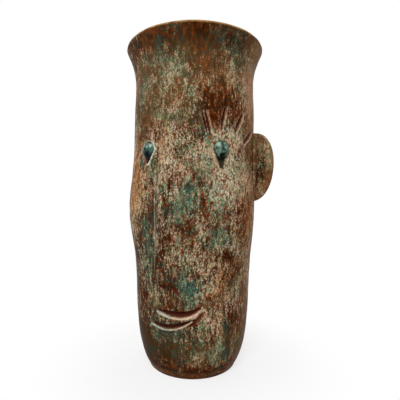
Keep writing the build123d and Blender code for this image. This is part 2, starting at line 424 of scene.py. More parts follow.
def closeMesh(piece):
    work = bmesh.new()
    work.from_mesh(piece.data)
    bmesh.ops.remove_doubles(work, verts=work.verts, dist=pieceWeld * mm)
    bmesh.ops.recalc_face_normals(work, faces=work.faces)
    work.to_mesh(piece.data)
    work.free()
    return piece


nose = {
    "angle": -5.6, "top": 240.0, "tip": 85.0, "topHalf": 8.0, "tipHalf": 12.0, "topProud": 0.8,
    "tipProud": 8.5, "tipRoll": 9.0, "tipSink": 3.0, "crest": -0.35, "steepness": 2.6, "fadeIn": 25.0,
    "seat": 0.9, "nostrils": ((-0.80, 89.0), (0.60, 86.5)), "nostrilSize": (2.4, 2.6), "nostrilDepth": 2.2,
    "nostrilShade": 0.9, "underDrop": 1.2, "underPower": 0.7, "rows": 150, "underRows": 10, "columns": 60,
}


def noseSpot(across, z, lift):
    s = nose
    fall = (s["top"] - z) / (s["top"] - s["tip"])
    roll = max(1.0 - (z - s["tip"]) / s["tipRoll"], 0.0)
    half = s["topHalf"] + (s["tipHalf"] - s["topHalf"]) * fall
    proud = s["topProud"] + (s["tipProud"] - s["topProud"]) * eased(fall) - s["tipSink"] * roll ** 2.0
    if across < s["crest"]:  # steep on the left, where the crease is crisp
        share = (across - s["crest"]) / (-1.0 - s["crest"])
        section = math.sqrt(max(1.0 - share ** s["steepness"], 0.0))
    else:  # smoothed down on the right
        section = eased(1.0 - (across - s["crest"]) / (1.0 - s["crest"]))
    height = (proud * step(z, s["top"], s["top"] - s["fadeIn"]) + s["seat"]) * section * lift - s["seat"]
    wide, tall = s["nostrilSize"]
    dent = max(bell((across - side) * half, wide) * bell(z - level, tall) for side, level in s["nostrils"])
    height -= s["nostrilDepth"] * dent
    angle = s["angle"] + math.degrees(half * across / wallRadius(s["angle"], z, wall))
    return onWall(angle, z, height), dent


def buildNose(material):
    s = nose
    points, dents = [], []
    rows = [(s["top"] + (s["tip"] - s["top"]) * row / s["rows"], 1.0) for row in range(s["rows"] + 1)]
    for row in range(1, s["underRows"] + 1):
        turn = math.pi / 2.0 * row / s["underRows"]
        lift = math.cos(turn) ** s["underPower"] if row < s["underRows"] else 0.0
        rows.append((s["tip"] - s["underDrop"] * math.sin(turn), lift))
    for z, lift in rows:
        for column in range(s["columns"] + 1):
            spot, dent = noseSpot(2.0 * column / s["columns"] - 1.0, max(z, s["tip"]), lift)
            points.append((spot[0], spot[1], z * mm))
            dents.append(s["nostrilShade"] * dent)
    return closeMesh(lutedStrip("lutedNose", points, len(rows), material, {"groove": dents}))


# The lip is the leaf of clay left between the two cuts
lip = {
    "left": (-23.5, 53.6), "right": (24.6, 66.2), "crown": 1.5, "seat": 0.9, "clear": 0.15, "thinnest": 0.25,
    "cornerSag": 12.0, "endRise": (6.0, 9.0), "swellPower": 0.6, "rows": 16, "columns": 120,
    "paleFrom": (-19.5, -16.0), "edgeIn": 0.5, "edgeWidth": (0.6, 0.9, 1.5),
    "cornerFrom": (0.76, 0.88), "cornerTo": (0.97, 1.0), "cornerPale": 0.6,
}


def cutEdge(stroke, angle, side):
    (angle0, _), (angle1, _) = stroke["ends"]
    _, z, half, _ = alongStroke(stroke, clamped((angle - angle0) / (angle1 - angle0)))
    return z + side * (half + lip["clear"])


def lipEdges(angle):
    leftAngle, leftZ = lip["left"]
    rightAngle, rightZ = lip["right"]
    upperEnds, lowerEnds = mouth["upper"]["ends"], mouth["lower"]["ends"]
    high = cutEdge(mouth["upper"], angle, -1.0)
    low = cutEdge(mouth["lower"], angle, 1.0)
    if angle < upperEnds[0][0]:
        high = leftZ + (high - leftZ) * (angle - leftAngle) / (upperEnds[0][0] - leftAngle)
    if angle > upperEnds[1][0]:
        high = rightZ + (high - rightZ) * (rightAngle - angle) / (rightAngle - upperEnds[1][0])
    if angle > lowerEnds[1][0]:
        share = (angle - lowerEnds[1][0]) / (rightAngle - lowerEnds[1][0])
        low = low + (rightZ - low) * share - lip["cornerSag"] * share * (1.0 - share)
    return min(low, high - lip["thinnest"]), high


def buildLip(material):
    s = lip
    narrow, wider, power = s["edgeWidth"]
    points, ridges = [], []
    for row in range(s["rows"] + 1):
        across = row / s["rows"]
        for column in range(s["columns"] + 1):
            along = column / s["columns"]
            angle = s["left"][0] + (s["right"][0] - s["left"][0]) * along
            low, high = lipEdges(angle)
            ends = min(1.0, s["endRise"][0] * along, s["endRise"][1] * (1.0 - along))
            swell = (4.0 * across * (1.0 - across)) ** s["swellPower"]
            height = (s["crown"] * ends + s["seat"]) * swell - s["seat"]
            points.append(onWall(angle, low + (high - low) * across, height))
            # The pale edge along the top of the lip: glaze broken over the burr, and painted highlight
            corner = step(along, *s["cornerFrom"]) * (1.0 - step(along, *s["cornerTo"])) * s["cornerPale"]
            broad = narrow + wider * abs(2.0 * along - 1.0) ** power  # the pale edge widens to both corners
            edge = bell((1.0 - across) * (high - low) - s["edgeIn"], broad)
            ridges.append(max(edge, corner) * step(angle, *s["paleFrom"]))
    return closeMesh(lutedStrip("lowerLip", points, s["rows"] + 1, material, {"ridge": ridges}))


# Eye pellets: rolled balls pressed flat, pinched below; a stylus pressed three dents down each for the pupil,
# and the dents are painted near black by their depth as painted shade
eye = {
    "height": 198.0, "angles": {"left_eye": -27.3, "right_eye": 39.3}, "radius": 6.8, "seat": 3.4,
    "edge": -0.4, "proud": 3.6, "domePower": 2.2, "pinch": 0.3, "pinchPower": 1.6, "darkDepth": 2.2,
    "rings": 44, "segments": 132,
    # Where the glaze is thin over the lobes, painted pale as highlights: across, up, width, share
    "thinGlazeHighlight": {
        "left_eye": (
            (4.6, 4.0, 1.4, 0.9), (2.0, 2.6, 0.9, 0.7), (-2.2, 4.2, 1.5, 0.5), (-3.6, 1.0, 1.2, 0.35)),
        "right_eye": ((-4.3, 4.3, 1.7, 0.85), (-3.4, -0.8, 1.1, 0.4), (2.7, 1.0, 1.1, 0.45)),
    },
    # Dents: across, up, width, height, depth
    "dents": {
        "left_eye": ((-0.6, 0.8, 1.2, 1.7, 1.7), (3.4, 2.2, 0.8, 1.8, 0.7), (0.8, -3.8, 4.0, 3.4, 3.2)),
        "right_eye": ((-0.2, 3.8, 1.2, 1.8, 1.4), (0.1, 0.4, 1.3, 2.4, 0.9), (0.0, -5.2, 3.0, 2.6, 3.0)),
    },
}


def buildEye(node, angle, material):
    s = eye
    highlightLobes, dents = s["thinGlazeHighlight"][node], s["dents"][node]
    turn = math.radians(angle)
    out, side = (math.sin(turn), -math.cos(turn)), (math.cos(turn), math.sin(turn))
    base = wallRadius(angle, s["height"], wall)
    points, pupils, highlightShares = [], [], []

    def put(bearing, share, high, dark=0.0, thinGlazeHighlight=0.0):
        up = share * math.sin(bearing)
        pinched = 1.0 - s["pinch"] * max(-up, 0.0) ** s["pinchPower"]
        across = share * math.cos(bearing) * pinched * s["radius"]
        reach = (base + high) * mm
        points.append((out[0] * reach + side[0] * across * mm, out[1] * reach + side[1] * across * mm,
                       (s["height"] + up * s["radius"]) * mm))
        pupils.append(dark)
        highlightShares.append(thinGlazeHighlight)

    turns = [2.0 * math.pi * segment / s["segments"] for segment in range(s["segments"])]
    for ring in range(s["rings"] + 1):
        share = math.sin(math.pi / 2.0 * ring / s["rings"])
        dome = (s["proud"] - s["edge"]) * math.sqrt(max(1.0 - share ** s["domePower"], 0.0))
        for bearing in turns:
            across = s["radius"] * share * math.cos(bearing)
            up = s["radius"] * share * math.sin(bearing)
            dent = max(deep * bell(across - x, wide) * bell(up - y, tall) for x, y, wide, tall, deep in dents)
            thinGlazeHighlight = max(much * bell(math.hypot(across - x, up - y), wide) for x, y, wide, much in highlightLobes)
            # Deeper dents are painted darker: painted shade
            put(bearing, share, s["edge"] + max(dome - dent, 0.0), min(dent / s["darkDepth"], 1.0), thinGlazeHighlight)
    for share in (1.0, 0.0):
        for bearing in turns:
            put(bearing, share, -s["seat"])
    faces = gridFaces(s["rings"] + 3, s["segments"], True)
    paint = {"pupil": pupils, "thinGlazeHighlight": highlightShares}
    return closeMesh(clayPiece(node.replace("_eye", "Pellet"), points, faces, material, paint))


# Ears: tongues of clay with a fold where they join the wall, a crease beside it and a thumbed hollow
ear = {
    "angles": {"left_ear": (-110.0, -1), "right_ear": (90.0, 1)}, "top": 219.0, "bottom": 155.0,
    "reach": 18.5, "lean": 5.0, "thickness": 9.0, "round": 4.2, "squareness": 2.15, "root": 4.5,
    "rings": 40, "segments": 200, "centre": 4.0, "rootCut": 3.0, "farthest": 60.0, "halvings": 30,
    "fold": (1.0, 1.4, 1.4), "crease": (3.3, 0.8, 1.0),  # millimetres from the wall, width, height or depth
    "foldEnds": (0.6, 0.95), "creaseShade": 0.7, "hollowMiddle": (6.5, 0.0), "hollowSize": (6.5, 24.0),
    "hollowEdge": (0.25, 1.05), "hollowDepth": 2.2,
}


def buildEar(name, angle, side, material):
    s = ear
    middle, half = (s["top"] + s["bottom"]) / 2.0, (s["top"] - s["bottom"]) / 2.0
    turn, lean = math.radians(angle), math.radians(s["lean"])
    out = (math.sin(turn), -math.cos(turn))
    front = (-side * math.cos(turn), -side * math.sin(turn))
    base = wallRadius(angle, middle, wall)
    points, hollows, creases = [], [], []

    def size(p, q):
        power = s["squareness"]
        return (abs(p / s["reach"]) ** power + abs(q / half) ** power) ** (1.0 / power)

    def put(p, q, high, hollow, crease):
        tilted = p * math.cos(lean) + q * math.sin(lean)
        reach = (base + max(tilted, -s["root"])) * mm
        points.append((out[0] * reach + front[0] * high * mm, out[1] * reach + front[1] * high * mm,
                       (middle + q * math.cos(lean) - p * math.sin(lean)) * mm))
        hollows.append(hollow)
        creases.append(crease)

    def edgeAlong(bearing):
        far, near = s["farthest"], 0.0  # halve the ray until it meets the outline
        for _ in range(s["halvings"]):
            trial = (far + near) / 2.0
            p, q = s["centre"] + trial * math.cos(bearing), trial * math.sin(bearing)
            if size(p, q) > 1.0 or p < -s["root"] - s["rootCut"]:
                far = trial
            else:
                near = trial
        return near

    turns = [2.0 * math.pi * segment / s["segments"] for segment in range(s["segments"])]
    edges = [edgeAlong(bearing) for bearing in turns]
    for face in (1, -1):
        for ring in range(s["rings"] + 1):
            quarter = math.pi / 2.0 * ring / s["rings"]
            share = math.sin(quarter) if face > 0 else math.cos(quarter)
            for bearing, edge in zip(turns, edges):
                p, q = s["centre"] + edge * share * math.cos(bearing), edge * share * math.sin(bearing)
                reachShare = max(size(p, q), 0.001)
                margin = min((1.0 - reachShare) / reachShare * math.hypot(p, q), s["round"])
                high = s["thickness"] / 2.0 - s["round"]
                high += math.sqrt(max(s["round"] ** 2.0 - (s["round"] - margin) ** 2.0, 0.0))
                hollow, crease = 0.0, 0.0
                if face > 0:
                    fromWall = p * math.cos(lean) + q * math.sin(lean)
                    along = 1.0 - step(abs(q) / half, *s["foldEnds"])
                    inX = (p - s["hollowMiddle"][0]) / s["hollowSize"][0]
                    inY = (q - s["hollowMiddle"][1]) / s["hollowSize"][1]
                    hollow = 1.0 - step(math.hypot(inX, inY), *s["hollowEdge"])
                    crease = bell(fromWall - s["crease"][0], s["crease"][1]) * along
                    high += s["fold"][2] * bell(fromWall - s["fold"][0], s["fold"][1]) * along
                    high -= s["crease"][2] * crease + s["hollowDepth"] * hollow
                put(p, q, face * high, hollow, s["creaseShade"] * crease)
    faces = gridFaces(2 * (s["rings"] + 1), s["segments"], True)
    paint = {"hollow": hollows, "groove": creases, "ear": [1.0] * len(points)}
    return closeMesh(clayPiece(name, points, faces, material, paint))


# Base slab: a rolled disc, its lower edge wiped round
slab = {
    "radius": 41.0, "thickness": 7.0, "edgeRise": 1.4, "edgeIn": 1.0, "edgeSteps": 6, "segments": 180,
    "topRings": (0.0, 12.0, 24.0, 36.0), "sideHeights": (5.4, 4.2, 3.0, 2.2),
    "bottomRings": (32.0, 18.0, 0.0),
}


def buildBase(material):
    s = slab
    topRadius = thrownRadius(s["thickness"], wall)
    slope = (topRadius - s["radius"]) / s["thickness"]
    profile = [(radius, s["thickness"]) for radius in (*s["topRings"], topRadius)]
    profile += [(s["radius"] + slope * z, z) for z in s["sideHeights"]]
    for count in range(s["edgeSteps"] + 1):
        bearing = math.pi / 2.0 * count / s["edgeSteps"]
        reach = s["radius"] - s["edgeIn"] + (s["edgeIn"] + slope * s["edgeRise"]) * math.cos(bearing)
        profile.append((reach, s["edgeRise"] - s["edgeRise"] * math.sin(bearing)))
    profile += [(radius, 0.0) for radius in s["bottomRings"]]
    points = []
    for radius, z in profile:
        for segment in range(s["segments"]):
            bearing = 2.0 * math.pi * segment / s["segments"]
            points.append((radius * math.sin(bearing) * mm, -radius * math.cos(bearing) * mm, z * mm))
    faces = gridFaces(len(profile), s["segments"], True)
    return closeMesh(clayPiece("baseDisc", points, faces, material))


# Glazes. Colours are written as they look on a screen
def tone(red, green, blue):
    def linear(level):
        level = level / 255.0
        return level / 12.92 if level <= 0.04045 else ((level + 0.055) / 1.055) ** 2.4
    return (linear(red), linear(green), linear(blue), 1.0)


def blend(share, first, second, way="MIX"):
    return share.add("ShaderNodeMix", {"data_type": "RGBA", "blend_type": way},
                     {0: share, 6: first, 7: second}, 2)


def newGlaze(name):
    material = bpy.data.materials.new(name)
    bench = clearedBench(material)
    spot = bench.add("ShaderNodeTexCoord", out="Object")
    spot = bench.add("ShaderNodeVectorMath", {"operation": "SCALE"}, {0: spot, "Scale": 1000.0})
    return material, bench, spot


def cloudy(spot, size, detail=2.0, stretch=1.0, shift=0.0, out="Fac"):
    moved = spot.add("ShaderNodeMapping", None, {
        "Vector": spot, "Location": (shift, shift * 0.7, shift * 1.3), "Scale": (1.0, 1.0, 1.0 / stretch)})
    return spot.add("ShaderNodeTexNoise", None, {"Vector": moved, "Scale": 1.0 / size, "Detail": detail,
                                                 "Roughness": 0.6}, out)


def patches(spot, noise, levels):
    return step(cloudy(spot, *noise), *levels)


def painted(bench, name):
    return bench.add("ShaderNodeAttribute", {"attribute_name": name}, None, "Fac")


bodyTones = {
    "umber": tone(54, 23, 0), "rust": tone(124, 60, 18), "veil": tone(116, 92, 60),
    "milk": tone(150, 140, 112), "cream": tone(214, 206, 176), "blush": tone(216, 176, 142),
    "tan": tone(206, 142, 84),
    "wash": tone(150, 196, 168), "pool": tone(106, 186, 180), "sage": tone(76, 122, 112),
    "spot": tone(118, 46, 10), "oldSpot": tone(80, 28, 4), "paintedGlint": tone(226, 220, 200),
    "quiet": tone(138, 96, 60), "soft": tone(122, 84, 46), "softGreen": tone(100, 102, 70),
    "flare": tone(90, 66, 38), "chin": tone(78, 82, 48),
    "earRim": tone(132, 100, 66), "hollow": tone(150, 176, 156), "lining": tone(64, 44, 24),
    "lashCut": tone(66, 20, 8), "mouthCut": tone(86, 36, 22), "paintedCutShade": tone(26, 6, 2),
    "burr": tone(232, 202, 172), "coolBurr": tone(216, 222, 204), "lashBurr": tone(222, 184, 146),
    "lipEdge": tone(188, 146, 88), "lipRust": tone(140, 88, 44), "socket": tone(26, 20, 14),
    "tail": tone(56, 48, 36),
}
# Noises in the glaze: size in millimetres, detail, stretch down the wall, shift
bodyClouds = {
    "grit": (1.0, 2.0, 1.7, 90.0), "thread": (2.6, 2.0, 2.8, 15.0), "drift": (26.0, 3.0, 1.3, 40.0),
    "haze": (17.0, 3.0, 1.5, 33.0), "warm": (14.0, 2.0, 1.0, 70.0), "speck": (2.4, 2.0, 1.6, 64.0),
    "stain": (11.0, 4.0, 1.5, 25.0), "milk": (4.6, 3.0, 2.6, 29.0), "grains": (2.0, 1.0, 1.4, 21.0),
    "paintedGlint": (1.1, 1.0, 1.0, 77.0), "iron": (2.7, 3.0, 1.6, 55.0), "melted": (13.0, 3.0, 1.4, 83.0),
    "broken": (3.0, 2.0, 1.0, 11.0), "lipEdge": (3.0, 4.0, 1.0, 5.0), "lipRust": (9.0, 3.0, 1.0, 47.0),
    "tooth": (0.9, 2.0, 1.0, 0.0),
}
# From where to where a layer comes in: levels of a noise, degrees round the wall or millimetres up it
bodySteps = {
    "ground": (0.32, 0.68), "veil": (0.4, 0.6), "fleck": (0.46, 0.70), "warm": (0.36, 0.66),
    "stain": (0.42, 0.68), "speck": (0.4, 0.6), "milk": (0.55, 0.70), "milkTop": (205.0, 235.0),
    "paintedGlint": (0.70, 0.76),
    "iron": (0.555, 0.63), "quietFrom": (52.0, 80.0), "quietTo": (96.0, 136.0), "quietUp": (200.0, 220.0),
    "softFrom": (-60.0, -40.0), "softTo": (50.0, 70.0), "softUp": (200.0, 226.0), "softTop": (276.0, 292.0),
    "browFrom": (12.0, 26.0), "browTop": (242.0, 262.0), "melted": (0.4, 0.6), "flareUp": (272.0, 288.0),
    "flareHaze": (0.36, 0.6), "chinUp": (12.0, 26.0), "chinTop": (32.0, 54.0), "broken": (0.34, 0.56),
    "warmBurr": (-16.0, 4.0), "lashUp": (110.0, 150.0), "lashFrom": (0.0, 10.0), "tailTop": (186.5, 191.5),
    "lipUp": (297.2, 298.6), "lipEdge": (0.36, 0.62), "lipRust": (0.34, 0.56), "wet": (0.62, 0.66),
}
# How much of a layer shows where it is full
bodyShares = {
    "veil": 0.6, "fleck": 0.9, "warm": 0.8, "stain": 0.9, "milk": 0.55, "milkOnEar": 0.25, "grains": 0.38,
    "paintedGlint": 0.8, "iron": 0.85, "ironInTeal": 0.25, "quiet": 0.32, "quietAbove": 0.2, "quietBesideEar": 0.4,
    "soft": 0.26, "flare": 0.04, "flareHaze": 0.18, "chin": 0.2, "earRim": 0.3, "hollow": 0.7, "paintedCutShade": 0.8,
    "lip": 0.5, "lipPatch": 0.45, "lining": 0.75, "wet": 0.5,
}
# How far the gatherings below raise or lower a noise
bodyPulls = {
    "ground": {"dark": -0.2}, "warm": {"cream": 0.1}, "iron": {"cream": 0.02},
    "cover": {"cream": 0.2, "tan": 0.1, "dark": -0.24, "bare": -0.2},
    "stain": {"teal": 0.25, "tan": -0.22, "dark": -0.06, "fullCream": -0.06},
    "milk": {"fullCream": 0.05, "dark": -0.08, "bare": -0.08},
}
# How much of one noise goes into another, and how strongly a mark shows
bodyMix = {
    "hazeInGround": 0.5, "cover": 0.13, "driftInCover": 0.7, "threadInCover": 0.5, "coverInFleck": 0.1,
    "hazeInStain": 0.9, "cloudInStain": 0.5, "pool": 0.4, "speckInPool": 0.6, "sage": 0.1, "tealInSage": 0.2,
    "milkThinned": 0.04, "coverInGlint": 0.4, "burr": 0.5, "brokenBurr": 0.55, "socket": 1.5,
}
bodyFinish = {
    "rough": 0.46, "fleckSmooth": 0.08, "cutSmooth": 0.2, "ironRough": 0.06, "fleckRise": 0.5,
    "toothRise": 0.5, "ironSink": 0.3, "bump": 0.2, "bumpDepth": 0.0004, "specular": 0.02, "coatRough": 0.1,
}
besideEar = {"height": 186.0, "reach": 20.0}
# Where the glaze gathered, with some painted shade and sheen among the patches: angle, height, half width and
# half height in millimetres, strength
gathered = {
    "teal": [(12, 161, 7, 13, 0.8), (2, 146, 6, 9, 0.5), (38, 124, 10, 14, 0.45), (13, 80, 9, 11, 0.8),
        (4, 85, 9, 8, 0.5), (-12, 268, 13, 14, 0.45), (-42, 236, 10, 18, 0.6), (-34, 262, 8, 12, 0.15),
        (-30, 120, 9, 30, 0.5), (-6, 38, 24, 14, 0.5), (-37, 189.5, 2.6, 4, 1.6), (-50, 286, 22, 14, 0.1),
        (74, 286, 24, 16, 0.4), (-9, 135, 6, 12, 0.4), (-28, 82, 9, 14, 0.35), (-11, 287, 9, 8, 0.5),
        (22, 180, 12, 14, 0.3), (44, 288, 14, 12, 0.5), (48, 48, 3, 7, 0.9), (51, 22, 3, 7, 0.9),
        (54, 84, 8, 12, 0.3), (-54, 84, 8, 14, 0.3), (57, 116, 8, 12, 0.3)],
    # Among the dark patches, those along the lower left and right edges and those round the flare are partly
    # painted shade
    "dark": [(44, 240, 16, 7, 0.5), (20, 292, 90, 10, 0.2), (16, 284, 26, 11, 0.4), (-30, 28, 34, 20, 0.45),
        (52, 30, 4, 9, 0.8), (-8, 84, 12, 6, 0.4), (-4, 118, 9, 22, 0.16), (10, 6, 80, 6, 0.7),
        (-45, 96, 16, 34, 0.5), (-22, 130, 4, 36, 0.3), (19, 220, 7, 22, 0.5), (-12, 112, 6, 14, 0.5),
        (48, 108, 9, 12, 0.35), (13, 136, 5, 10, 0.5), (34, 287, 26, 9, 0.25), (-6, 160, 6, 12, 0.35),
        (25, 160, 5, 12, 0.35), (-44, 292, 14, 10, 0.4), (16, 87, 8, 8, 0.35), (58, 58, 6, 14, 0.4),
        (-40, 34, 12, 20, 0.8), (84, 28, 16, 26, 1.1), (-60, 28, 12, 24, 0.7), (48, 48, 3, 7, 0.7),
        (38, 262, 6, 11, 0.5), (-34, 17, 14, 12, 0.6), (-10, 25, 8, 8, 0.5), (-28, 54, 6, 8, 0.3)],
    "bare": [(15, 264, 10, 10, 0.4), (38, 254, 26, 20, 0.15), (50, 229, 30, 10, 0.3), (76, 120, 18, 60, 0.1),
        (10, 292, 90, 12, 0.3)],
    # The strong small cream patch at (-21.5, 202), beside the left eye, is partly a painted highlight
    "cream": [(-24, 264, 12, 14, 0.3), (44, 182, 22, 24, 0.7), (40, 200, 14, 12, 0.4), (30, 122, 20, 28, 0.2),
        (44, 58, 20, 20, 0.15), (-4, 182, 12, 26, 0.2), (-14, 180, 8, 36, 0.2), (-21.5, 202, 2.2, 4, 1.4),
        (22, 186, 12, 16, 0.7), (46, 208, 14, 9, 0.6), (1, 110, 5, 14, 0.4), (19, 110, 7, 14, 0.45),
        (64, 82, 8, 12, 0.8), (3, 232, 9, 12, 0.35), (-14, 287, 7, 8, 0.4), (72, 262, 12, 24, 0.4),
        (-42, 188, 8, 12, 0.4), (34, 160, 6, 12, 0.5), (2, 158, 5, 12, 0.4), (-9, 135, 5, 12, 0.5),
        (22, 135, 5, 10, 0.6), (-24, 84, 10, 12, 0.35), (60, 262, 9, 18, 0.35), (42, 209, 12, 8, 0.5),
        (9, 184, 8, 14, 0.6), (38, 187, 8, 12, 0.3), (-40, 84, 8, 14, 0.2), (46, 286, 12, 10, 0.3),
        (54, 84, 8, 12, 0.4), (57, 116, 8, 12, 0.35), (52, 262, 6, 12, 0.4), (2, 42, 8, 7, 0.3),
        (20, 23, 9, 8, 0.3)],
    # Tan and cream patches along the right edge, from about 70 degrees round, are partly painted sheen
    "tan": [(-48, 168, 16, 32, 1.0), (42, 92, 7, 10, 0.8), (40, 256, 18, 16, 0.6), (-26, 70, 10, 8, 0.4),
        (44, 76, 12, 10, 0.5), (38, 54, 14, 16, 0.25), (64, 126, 12, 26, 0.6), (88, 188, 12, 30, 0.1),
        (-50, 262, 12, 20, 0.4), (82, 258, 14, 26, 0.8), (84, 196, 10, 30, 0.15), (-46, 215, 8, 14, 0.4),
        (74, 290, 10, 10, 0.5), (-9, 208, 7, 14, 0.5), (-42, 186, 8, 12, 0.4), (70, 160, 12, 20, 0.4),
        (76, 135, 10, 20, 0.4), (26, 18, 10, 8, 0.4)],
}


def gatheredAt(name, angle, z):
    total = 0.0
    for place, level, wide, tall, strength in gathered[name]:
        across = (angle - place) * (math.radians(wall["shoulderRadius"]) / wide)
        along = (z - level) * (1.0 / tall)
        total = expOf((across * across + along * along) * -1.0) * strength + total
    return total


def bodyGlaze():
    material, bench, spot = newGlaze("mottledGlaze")
    x, y, z = [spot.axis(number) for number in range(3)]
    angle = x.math("ARCTAN2", y * -1.0) * (180.0 / math.pi)
    t, share, mix, finish = bodyTones, bodyShares, bodyMix, bodyFinish
    place = {name: gatheredAt(name, angle, z) for name in gathered}
    fullTeal, fullTan = clamped(place["teal"]), clamped(place["tan"])
    place["fullCream"] = clamped(place["cream"])

    def cloud(name, out="Fac"):
        return cloudy(spot, *bodyClouds[name], out)

    def shown(value, name):
        return step(value, *bodySteps[name])

    def pulled(value, name):
        for gathering, pull in bodyPulls[name].items():
            value = value + place[gathering] * pull
        return value

    grit, thread, drift, haze, speck = [cloud(name) for name in ("grit", "thread", "drift", "haze", "speck")]
    onEar, hollow, groove, ridge, socket, inside = [
        painted(bench, name) for name in ("ear", "hollow", "groove", "ridge", "socket", "inside")]

    # Ground: umber and rust in fine threads that run down
    ground = shown(pulled(thread + (haze - 0.5) * mix["hazeInGround"], "ground"), "ground")
    colour = blend(ground, t["umber"], t["rust"])

    def lay(amount, paint, way="MIX"):
        nonlocal colour
        colour = blend(amount, colour, t[paint] if isinstance(paint, str) else paint, way)

    # The upper glaze settled in a thin veil with cream flecks in it
    cover = drift * mix["driftInCover"] + mix["cover"] + (thread - 0.5) * mix["threadInCover"]
    cover = pulled(cover, "cover")
    lay(shown(cover, "veil") * share["veil"], "veil")
    fleck = shown(grit + minOf(cover - 0.5, mix["coverInFleck"]), "fleck")
    warm = clamped(pulled(shown(cloud("warm"), "warm") * share["warm"], "warm"))
    pale = blend(fullTan, blend(warm, t["cream"], t["blush"]), t["tan"])
    lay(fleck * share["fleck"], pale)

    # Copper green stains some flecks and not others, more of them in clouds and where it pooled
    stain = speck + (haze - 0.5) * mix["hazeInStain"] + (cloud("stain") - 0.5) * mix["cloudInStain"]
    stain = shown(pulled(stain, "stain"), "stain")
    lay(stain * share["stain"], "wash", "MULTIPLY")
    lay(fullTeal * (mix["pool"] + mix["speckInPool"] * shown(speck, "speck")), "pool", "MULTIPLY")
    lay(stain * (mix["sage"] + fullTeal * mix["tealInSage"]), "sage")

    # Milky runs that dried before they broke up
    milk = shown(pulled(cloud("milk"), "milk") - shown(z, "milkTop") * mix["milkThinned"], "milk")
    lay(milk * (share["milk"] + (share["milkOnEar"] - share["milk"]) * onEar), "milk")

    # No two grains are quite the same colour, and pale specks are painted in as glints: painted highlights
    colour = bench.add("ShaderNodeMix", {"data_type": "RGBA", "blend_type": "OVERLAY"}, {
        0: share["grains"], 6: colour, 7: cloud("grains", "Color")}, 2)
    paintedGlint = shown(cloud("paintedGlint") + (cover - 0.5) * mix["coverInGlint"], "paintedGlint")
    lay(paintedGlint * share["paintedGlint"], "paintedGlint")

    # Iron spots that broke through
    iron = shown(pulled(cloud("iron"), "iron"), "iron")
    ironShare = share["iron"] + (share["ironInTeal"] - share["iron"]) * fullTeal
    lay(iron * ironShare, blend(ground, t["oldSpot"], t["spot"]))

    # Plainer films towards the right ear, over the brow, round the flare and on the chin; the darker film
    # round the flare is partly painted shade, as the flare faces down
    quiet = shown(angle, "quietFrom") * (1.0 - shown(angle, "quietTo")) * (1.0 - onEar)
    quiet = quiet * (share["quiet"] + share["quietAbove"] * shown(z, "quietUp"))
    nearEar = bell(z - besideEar["height"], besideEar["reach"])
    lay(quiet * (1.0 + (share["quietBesideEar"] - 1.0) * nearEar), "quiet")
    soft = shown(z, "softUp") * (1.0 - shown(z, "softTop"))
    soft = soft * shown(angle, "softFrom") * (1.0 - shown(angle, "softTo"))
    soft = soft * (1.0 - shown(angle, "browFrom") * (1.0 - shown(z, "browTop")))
    melted = blend(shown(cloud("melted"), "melted"), t["soft"], t["softGreen"])
    lay(soft * share["soft"], melted)
    flare = share["flare"] + share["flareHaze"] * shown(haze, "flareHaze")
    lay(shown(z, "flareUp") * flare, "flare")
    lay(shown(z, "chinUp") * (1.0 - shown(z, "chinTop")) * share["chin"], "chin")
    lay((onEar - hollow) * share["earRim"], "earRim")
    # The ear's hollow is darkened and greened: green glaze pooled there, and painted shade
    lay(hollow * share["hollow"], "hollow", "MULTIPLY")

    # Burrs and cuts, the sockets, the wiped lip and the inside; the burrs carry some painted highlight, the
    # cuts and sockets painted shade
    broken = shown(cloud("broken"), "broken")
    # Pale over the burrs: glaze broken thin over them, and painted highlight on their lit edges
    burr = blend(shown(angle, "warmBurr"), t["coolBurr"], t["burr"])
    burr = blend(shown(z, "lashUp") * shown(angle, "lashFrom"), burr, t["lashBurr"])
    lay(clamped(ridge * (mix["burr"] + mix["brokenBurr"] * broken)), burr)
    # The cuts in dark glaze, partly painted shade; the side away from the burr darker still, painted shade
    lay(clamped(groove), blend(shown(z, "lashUp"), t["mouthCut"], t["lashCut"]))
    lay(clamped(groove - 1.0) * share["paintedCutShade"], "paintedCutShade")
    # The socket round and under each pellet is painted near black as painted shade; the tail below it is dark
    # grey-green glaze
    lay(clamped(socket * mix["socket"]), blend(shown(z, "tailTop"), t["tail"], t["socket"]))
    edge = shown(z, "lipUp") * (share["lip"] + share["lipPatch"] * shown(cloud("lipEdge"), "lipEdge"))
    lay(edge, blend(shown(cloud("lipRust"), "lipRust"), t["lipRust"], t["lipEdge"]))
    lay(inside * share["lining"], "lining")

    rough = finish["rough"] - fleck * finish["fleckSmooth"] - clamped(groove) * finish["cutSmooth"]
    rough = rough + iron * finish["ironRough"]
    grain = fleck * finish["fleckRise"] + cloud("tooth") * finish["toothRise"] - iron * finish["ironSink"]
    bump = bench.add("ShaderNodeBump", None, {
        "Strength": finish["bump"], "Distance": finish["bumpDepth"], "Height": grain})
    shader = bench.add("ShaderNodeBsdfPrincipled", None, {
        "Base Color": colour, "Roughness": rough, "Normal": bump, "Specular IOR Level": finish["specular"],
        "Coat Weight": clamped(groove) * shown(grit, "wet") * share["wet"],
        "Coat Roughness": finish["coatRough"]})
    bench.add("ShaderNodeOutputMaterial", None, {0: shader})
    return material


# Patches in the foot's and the pellets' glaze: the noise as above, then from which level to which it comes in
footCoat = {
    "dark": tone(50, 23, 2), "light": tone(100, 54, 14), "cloud": ((7.0, 3.0), (0.38, 0.62)),
    "fleck": tone(168, 140, 106), "flecks": ((1.8, 2.0, 1.0, 30.0), (0.6, 0.68)), "fleckShare": 0.5,
    "clay": tone(140, 96, 66), "paleClay": tone(170, 124, 88), "grog": ((2.0, 4.0, 1.0, 60.0), (0.3, 0.7)),
    "wiped": (0.2, 1.2), "rough": 0.45, "bareRough": 0.4, "specular": 0.04,
    "tooth": (0.8, 3.0), "bump": 0.4, "bumpDepth": 0.0003,
}


